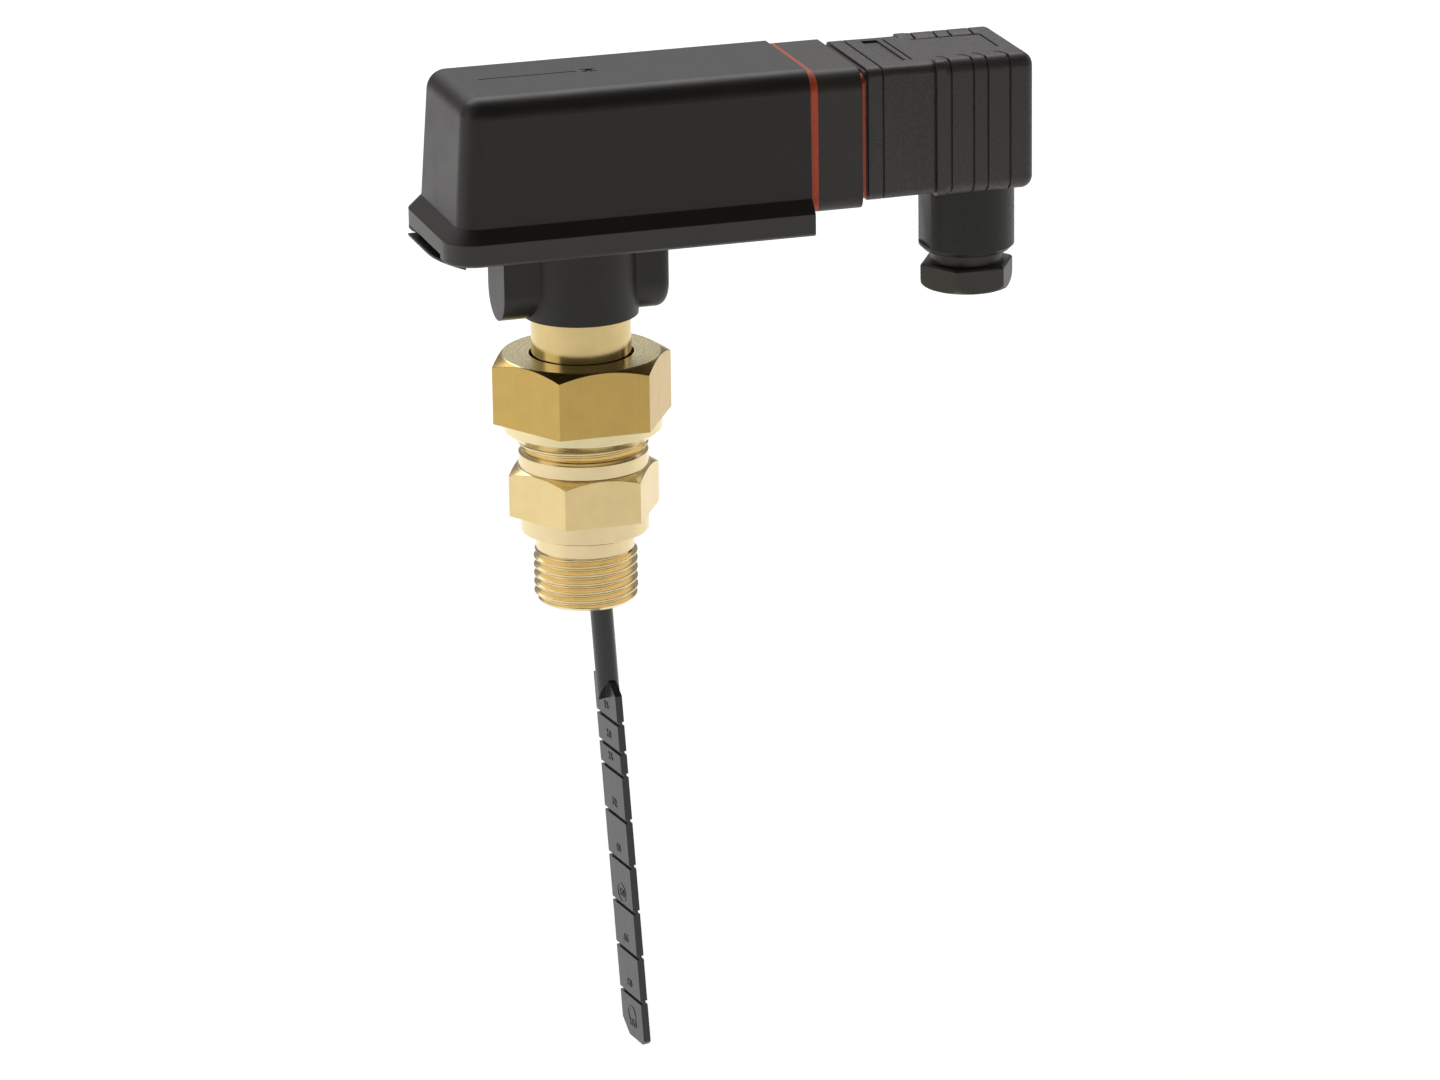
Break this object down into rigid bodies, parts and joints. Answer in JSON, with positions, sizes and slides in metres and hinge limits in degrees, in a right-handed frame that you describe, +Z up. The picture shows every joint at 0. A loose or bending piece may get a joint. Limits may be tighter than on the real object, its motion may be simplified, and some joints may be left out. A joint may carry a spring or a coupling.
{
  "type": "paddle flow switch",
  "caption": "Paddle flow switch: threaded brass fitting with union nut, black hood with an angled plug, and a hinged paddle that hangs through the fitting into the pipe.",
  "frame": {"origin": "on the axis of the brass tube, in the plane of the fitting's underside that seats on the pipe boss", "axes": "+Z up the tube, away from the pipe; +X towards the plug, against the flow; +Y to the far side of the hood"},
  "size_m": [0.122, 0.0376, 0.2049],
  "materials": {
    "fitting_brass": "turned, satin",
    "nut_brass": "machined, satin",
    "tube_brass": "turned, satin",
    "grey_seal": "matt",
    "steel": "satin",
    "spring_steel": "oiled",
    "magnet_metal": "satin",
    "paddle_plastic": "satin",
    "black_plastic": "fine satin",
    "black_rubber": "matt",
    "red_silicone": "matt",
    "contact_brass": "bright",
    "board_green": "satin",
    "reed_glass": "clear",
    "contact_metal": "bright",
    "plug_plastic": "finely grained",
    "gland_plastic": "satin"
  },
  "bodies": {
    "fitting": {"fitting": "fitting_brass", "union_seal": "grey_seal"},
    "union_nut": {"union_nut": "nut_brass"},
    "head": {"sensor_tube": "tube_brass", "pivot_pin": "steel", "return_magnet": "magnet_metal", "base_plate": "black_plastic", "tube_o_ring": "black_rubber", "tube_washer": "steel", "tube_circlip": "spring_steel"},
    "paddle": {"paddle": "paddle_plastic", "paddle_magnet": "magnet_metal"},
    "hood": {"cover": "black_plastic", "cover_gasket": "red_silicone", "socket_block": "black_plastic", "screw_bush": "contact_brass", "socket_screws": "steel", "switch_board": "board_green", "reed_switch": "reed_glass", "contact_blades": "contact_metal", "earth_blade": "contact_metal"},
    "plug": {"plug_gasket": "red_silicone", "plug_housing": "plug_plastic", "plug_insert": "plug_plastic", "terminal_clamps": "contact_brass", "terminal_screws": "steel", "gland_seal": "black_rubber", "gland_washer": "steel"},
    "fixing_screw": {"fixing_screw": "steel"},
    "gland_nut": {"gland_nut": "gland_plastic"}
  },
  "joints": [
    {"name": "union_nut_turn", "type": "hinge", "parent": "fitting", "child": "union_nut", "pos_m": [0, 0, 0.028], "axis": [0, 0, 1], "continuous": true},
    {"name": "head_swivel", "type": "hinge", "parent": "fitting", "child": "head", "pos_m": [0, 0, 0.0294], "axis": [0, 0, 1], "continuous": true},
    {"name": "paddle_swing", "type": "hinge", "parent": "head", "child": "paddle", "pos_m": [0, 0, 0.0311], "axis": [-0.1219, 0.9925, 0], "range_deg": [0, 10], "stiffness_Nm_per_rad": 0.01, "springref_deg": -11.46},
    {"name": "hood_lift", "type": "slide", "parent": "head", "child": "hood", "axis": [0, 0, 1], "range_m": [0, 0.035]},
    {"name": "plug_pull", "type": "slide", "parent": "hood", "child": "plug", "axis": [1, 0, 0], "range_m": [0, 0.03]},
    {"name": "fixing_screw_turn", "type": "hinge", "parent": "plug", "child": "fixing_screw", "pos_m": [0.08, 0, 0.07875], "axis": [1, 0, 0], "continuous": true},
    {"name": "gland_nut_turn", "type": "hinge", "parent": "plug", "child": "gland_nut", "pos_m": [0.08095, 0, 0.0479], "axis": [0, 0, 1], "continuous": true}
  ]
}
